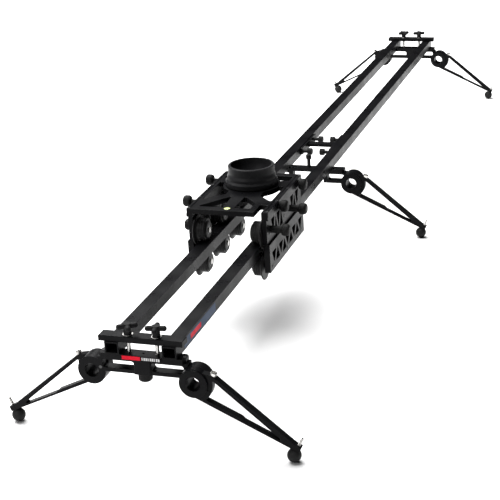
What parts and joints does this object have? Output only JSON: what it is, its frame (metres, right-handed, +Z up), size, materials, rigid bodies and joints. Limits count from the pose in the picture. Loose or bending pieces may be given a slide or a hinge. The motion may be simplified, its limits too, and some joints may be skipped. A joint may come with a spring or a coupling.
{
  "type": "camera slider",
  "caption": "Long two-rail camera slider: a wheeled carriage with a tripod bowl rolls along clamped rails held up on brackets with swinging legs and ball feet.",
  "frame": {"origin": "on the floor under the middle of the two rails", "axes": "+X along the rails, away from the end nearest the carriage; +Y towards the left side; +Z up"},
  "size_m": [2.8686, 0.684, 0.354],
  "materials": {
    "rail": "satin black anodised",
    "bracket": "matt black anodised",
    "leg": "matt black anodised",
    "carriage": "matt black anodised",
    "bowl": "satin turned, dark anodised",
    "wheel": "smooth black",
    "knob": "satin black, knurled",
    "fastener": "plain steel",
    "foot": "smooth black rubber on a steel screw",
    "level": "clear, pale green liquid"
  },
  "bodies": {
    "frame": {"rail_left": "rail", "rail_right": "rail", "rail_splices": "bracket", "joint_screws": "fastener", "joint_bridge": "bracket", "joint_knobs": "knob", "end_bracket_front": "bracket", "end_bracket_rear": "bracket", "centre_bracket": "bracket", "centre_post": "knob", "clamp_bar_front": "bracket", "clamp_bar_rear": "bracket", "clamp_bolts": "fastener"},
    "carriage": {"platform": "carriage", "bowl": "bowl", "bubble_level": "level", "upper_side_plates": "carriage", "upper_axles": "fastener"},
    "lower_truck_left": {"lower_side_plate_left": "carriage", "lower_axles_left": "fastener"},
    "lower_truck_right": {"lower_side_plate_right": "carriage", "lower_axles_right": "fastener"},
    "upper_wheel_left_front": {"upper_wheel_left_front": "wheel"},
    "upper_wheel_left_middle": {"upper_wheel_left_middle": "wheel"},
    "upper_wheel_left_rear": {"upper_wheel_left_rear": "wheel"},
    "upper_wheel_right_front": {"upper_wheel_right_front": "wheel"},
    "upper_wheel_right_middle": {"upper_wheel_right_middle": "wheel"},
    "upper_wheel_right_rear": {"upper_wheel_right_rear": "wheel"},
    "lower_wheel_left_front": {"lower_wheel_left_front": "wheel"},
    "lower_wheel_left_middle": {"lower_wheel_left_middle": "wheel"},
    "lower_wheel_left_rear": {"lower_wheel_left_rear": "wheel"},
    "lower_wheel_right_front": {"lower_wheel_right_front": "wheel"},
    "lower_wheel_right_middle": {"lower_wheel_right_middle": "wheel"},
    "lower_wheel_right_rear": {"lower_wheel_right_rear": "wheel"},
    "leg_front_left": {"leg_front_left": "leg"},
    "foot_front_left": {"foot_front_left": "foot"},
    "leg_front_right": {"leg_front_right": "leg"},
    "foot_front_right": {"foot_front_right": "foot"},
    "leg_centre_left": {"leg_centre_left": "leg"},
    "foot_centre_left": {"foot_centre_left": "foot"},
    "leg_centre_right": {"leg_centre_right": "leg"},
    "foot_centre_right": {"foot_centre_right": "foot"},
    "leg_rear_left": {"leg_rear_left": "leg"},
    "foot_rear_left": {"foot_rear_left": "foot"},
    "leg_rear_right": {"leg_rear_right": "leg"},
    "foot_rear_right": {"foot_rear_right": "foot"},
    "star_knob_front_left": {"star_knob_front_left": "knob"},
    "star_knob_front_right": {"star_knob_front_right": "knob"},
    "bracket_knob_front": {"bracket_knob_front": "knob"},
    "star_knob_rear_left": {"star_knob_rear_left": "knob"},
    "star_knob_rear_right": {"star_knob_rear_right": "knob"},
    "bracket_knob_rear": {"bracket_knob_rear": "knob"},
    "platform_knob_left_front": {"platform_knob_left_front": "knob"},
    "platform_knob_left_rear": {"platform_knob_left_rear": "knob"},
    "truck_knob_left_front": {"truck_knob_left_front": "knob"},
    "truck_knob_left_rear": {"truck_knob_left_rear": "knob"},
    "platform_knob_right_front": {"platform_knob_right_front": "knob"},
    "platform_knob_right_rear": {"platform_knob_right_rear": "knob"},
    "truck_knob_right_front": {"truck_knob_right_front": "knob"},
    "truck_knob_right_rear": {"truck_knob_right_rear": "knob"}
  },
  "joints": [
    {"name": "carriage_slide", "type": "slide", "parent": "frame", "child": "carriage", "axis": [1, 0, 0], "range_m": [-0.48, 0.38]},
    {"name": "lower_truck_left_slide", "type": "slide", "parent": "carriage", "child": "lower_truck_left", "axis": [0, 0, -1], "range_m": [0, 0.006]},
    {"name": "lower_truck_right_slide", "type": "slide", "parent": "carriage", "child": "lower_truck_right", "axis": [0, 0, -1], "range_m": [0, 0.006]},
    {"name": "upper_wheel_left_front_spin", "type": "hinge", "parent": "carriage", "child": "upper_wheel_left_front", "pos_m": [-0.849, 0.065, 0.2458], "axis": [0, 1, 0], "continuous": true},
    {"name": "upper_wheel_left_middle_spin", "type": "hinge", "parent": "carriage", "child": "upper_wheel_left_middle", "pos_m": [-0.725, 0.065, 0.2458], "axis": [0, 1, 0], "continuous": true},
    {"name": "upper_wheel_left_rear_spin", "type": "hinge", "parent": "carriage", "child": "upper_wheel_left_rear", "pos_m": [-0.601, 0.065, 0.2458], "axis": [0, 1, 0], "continuous": true},
    {"name": "upper_wheel_right_front_spin", "type": "hinge", "parent": "carriage", "child": "upper_wheel_right_front", "pos_m": [-0.849, -0.065, 0.2458], "axis": [0, 1, 0], "continuous": true},
    {"name": "upper_wheel_right_middle_spin", "type": "hinge", "parent": "carriage", "child": "upper_wheel_right_middle", "pos_m": [-0.725, -0.065, 0.2458], "axis": [0, 1, 0], "continuous": true},
    {"name": "upper_wheel_right_rear_spin", "type": "hinge", "parent": "carriage", "child": "upper_wheel_right_rear", "pos_m": [-0.601, -0.065, 0.2458], "axis": [0, 1, 0], "continuous": true},
    {"name": "lower_wheel_left_front_spin", "type": "hinge", "parent": "lower_truck_left", "child": "lower_wheel_left_front", "pos_m": [-0.849, 0.065, 0.1662], "axis": [0, 1, 0], "continuous": true},
    {"name": "lower_wheel_left_middle_spin", "type": "hinge", "parent": "lower_truck_left", "child": "lower_wheel_left_middle", "pos_m": [-0.725, 0.065, 0.1662], "axis": [0, 1, 0], "continuous": true},
    {"name": "lower_wheel_left_rear_spin", "type": "hinge", "parent": "lower_truck_left", "child": "lower_wheel_left_rear", "pos_m": [-0.601, 0.065, 0.1662], "axis": [0, 1, 0], "continuous": true},
    {"name": "lower_wheel_right_front_spin", "type": "hinge", "parent": "lower_truck_right", "child": "lower_wheel_right_front", "pos_m": [-0.849, -0.065, 0.1662], "axis": [0, 1, 0], "continuous": true},
    {"name": "lower_wheel_right_middle_spin", "type": "hinge", "parent": "lower_truck_right", "child": "lower_wheel_right_middle", "pos_m": [-0.725, -0.065, 0.1662], "axis": [0, 1, 0], "continuous": true},
    {"name": "lower_wheel_right_rear_spin", "type": "hinge", "parent": "lower_truck_right", "child": "lower_wheel_right_rear", "pos_m": [-0.601, -0.065, 0.1662], "axis": [0, 1, 0], "continuous": true},
    {"name": "leg_front_left_swing", "type": "hinge", "parent": "frame", "child": "leg_front_left", "pos_m": [-1.3822, 0.11, 0.1505], "axis": [-1, 0, 0], "range_deg": [-30, 105]},
    {"name": "foot_front_left_screw", "type": "slide", "parent": "leg_front_left", "child": "foot_front_left", "axis": [0, -0.4226, -0.9063], "range_m": [0, 0.012]},
    {"name": "leg_front_right_swing", "type": "hinge", "parent": "frame", "child": "leg_front_right", "pos_m": [-1.4198, -0.11, 0.1505], "axis": [1, 0, 0], "range_deg": [-30, 105]},
    {"name": "foot_front_right_screw", "type": "slide", "parent": "leg_front_right", "child": "foot_front_right", "axis": [0, 0.4226, -0.9063], "range_m": [0, 0.012]},
    {"name": "leg_centre_left_swing", "type": "hinge", "parent": "frame", "child": "leg_centre_left", "pos_m": [-0.1332, 0.128, 0.1505], "axis": [-1, 0, 0], "range_deg": [-30, 105]},
    {"name": "foot_centre_left_screw", "type": "slide", "parent": "leg_centre_left", "child": "foot_centre_left", "axis": [0, -0.4226, -0.9063], "range_m": [0, 0.012]},
    {"name": "leg_centre_right_swing", "type": "hinge", "parent": "frame", "child": "leg_centre_right", "pos_m": [-0.1708, -0.128, 0.1505], "axis": [1, 0, 0], "range_deg": [-30, 105]},
    {"name": "foot_centre_right_screw", "type": "slide", "parent": "leg_centre_right", "child": "foot_centre_right", "axis": [0, 0.4226, -0.9063], "range_m": [0, 0.012]},
    {"name": "leg_rear_left_swing", "type": "hinge", "parent": "frame", "child": "leg_rear_left", "pos_m": [1.4198, 0.11, 0.1505], "axis": [-1, 0, 0], "range_deg": [-30, 105]},
    {"name": "foot_rear_left_screw", "type": "slide", "parent": "leg_rear_left", "child": "foot_rear_left", "axis": [0, -0.4226, -0.9063], "range_m": [0, 0.012]},
    {"name": "leg_rear_right_swing", "type": "hinge", "parent": "frame", "child": "leg_rear_right", "pos_m": [1.3822, -0.11, 0.1505], "axis": [1, 0, 0], "range_deg": [-30, 105]},
    {"name": "foot_rear_right_screw", "type": "slide", "parent": "leg_rear_right", "child": "foot_rear_right", "axis": [0, 0.4226, -0.9063], "range_m": [0, 0.012]},
    {"name": "star_knob_front_left_turn", "type": "hinge", "parent": "frame", "child": "star_knob_front_left", "pos_m": [-1.401, 0.03, 0.24], "axis": [0, 0, 1], "continuous": true},
    {"name": "star_knob_front_right_turn", "type": "hinge", "parent": "frame", "child": "star_knob_front_right", "pos_m": [-1.401, -0.03, 0.24], "axis": [0, 0, 1], "continuous": true},
    {"name": "bracket_knob_front_turn", "type": "hinge", "parent": "frame", "child": "bracket_knob_front", "pos_m": [-1.401, 0, 0.15], "axis": [0, 0, 1], "continuous": true},
    {"name": "star_knob_rear_left_turn", "type": "hinge", "parent": "frame", "child": "star_knob_rear_left", "pos_m": [1.401, 0.03, 0.24], "axis": [0, 0, 1], "continuous": true},
    {"name": "star_knob_rear_right_turn", "type": "hinge", "parent": "frame", "child": "star_knob_rear_right", "pos_m": [1.401, -0.03, 0.24], "axis": [0, 0, 1], "continuous": true},
    {"name": "bracket_knob_rear_turn", "type": "hinge", "parent": "frame", "child": "bracket_knob_rear", "pos_m": [1.401, 0, 0.15], "axis": [0, 0, 1], "continuous": true},
    {"name": "platform_knob_left_front_turn", "type": "hinge", "parent": "carriage", "child": "platform_knob_left_front", "pos_m": [-0.775, 0.099, 0.288], "axis": [0, 1, 0], "continuous": true},
    {"name": "platform_knob_left_rear_turn", "type": "hinge", "parent": "carriage", "child": "platform_knob_left_rear", "pos_m": [-0.61, 0.099, 0.288], "axis": [0, 1, 0], "continuous": true},
    {"name": "truck_knob_left_front_turn", "type": "hinge", "parent": "carriage", "child": "truck_knob_left_front", "pos_m": [-0.835, 0.095, 0.251], "axis": [0, 1, 0], "continuous": true},
    {"name": "truck_knob_left_rear_turn", "type": "hinge", "parent": "carriage", "child": "truck_knob_left_rear", "pos_m": [-0.685, 0.095, 0.251], "axis": [0, 1, 0], "continuous": true},
    {"name": "platform_knob_right_front_turn", "type": "hinge", "parent": "carriage", "child": "platform_knob_right_front", "pos_m": [-0.775, -0.099, 0.288], "axis": [0, 1, 0], "continuous": true},
    {"name": "platform_knob_right_rear_turn", "type": "hinge", "parent": "carriage", "child": "platform_knob_right_rear", "pos_m": [-0.61, -0.099, 0.288], "axis": [0, 1, 0], "continuous": true},
    {"name": "truck_knob_right_front_turn", "type": "hinge", "parent": "carriage", "child": "truck_knob_right_front", "pos_m": [-0.835, -0.095, 0.251], "axis": [0, 1, 0], "continuous": true},
    {"name": "truck_knob_right_rear_turn", "type": "hinge", "parent": "carriage", "child": "truck_knob_right_rear", "pos_m": [-0.685, -0.095, 0.251], "axis": [0, 1, 0], "continuous": true}
  ],
  "couplings": [
    {"joint": "upper_wheel_left_front_spin", "follows": "carriage_slide", "rad_per_m": 37.037},
    {"joint": "upper_wheel_left_middle_spin", "follows": "carriage_slide", "rad_per_m": 37.037},
    {"joint": "upper_wheel_left_rear_spin", "follows": "carriage_slide", "rad_per_m": 37.037},
    {"joint": "upper_wheel_right_front_spin", "follows": "carriage_slide", "rad_per_m": 37.037},
    {"joint": "upper_wheel_right_middle_spin", "follows": "carriage_slide", "rad_per_m": 37.037},
    {"joint": "upper_wheel_right_rear_spin", "follows": "carriage_slide", "rad_per_m": 37.037},
    {"joint": "lower_wheel_left_front_spin", "follows": "carriage_slide", "rad_per_m": -38.462},
    {"joint": "lower_wheel_left_middle_spin", "follows": "carriage_slide", "rad_per_m": -38.462},
    {"joint": "lower_wheel_left_rear_spin", "follows": "carriage_slide", "rad_per_m": -38.462},
    {"joint": "lower_wheel_right_front_spin", "follows": "carriage_slide", "rad_per_m": -38.462},
    {"joint": "lower_wheel_right_middle_spin", "follows": "carriage_slide", "rad_per_m": -38.462},
    {"joint": "lower_wheel_right_rear_spin", "follows": "carriage_slide", "rad_per_m": -38.462}
  ]
}
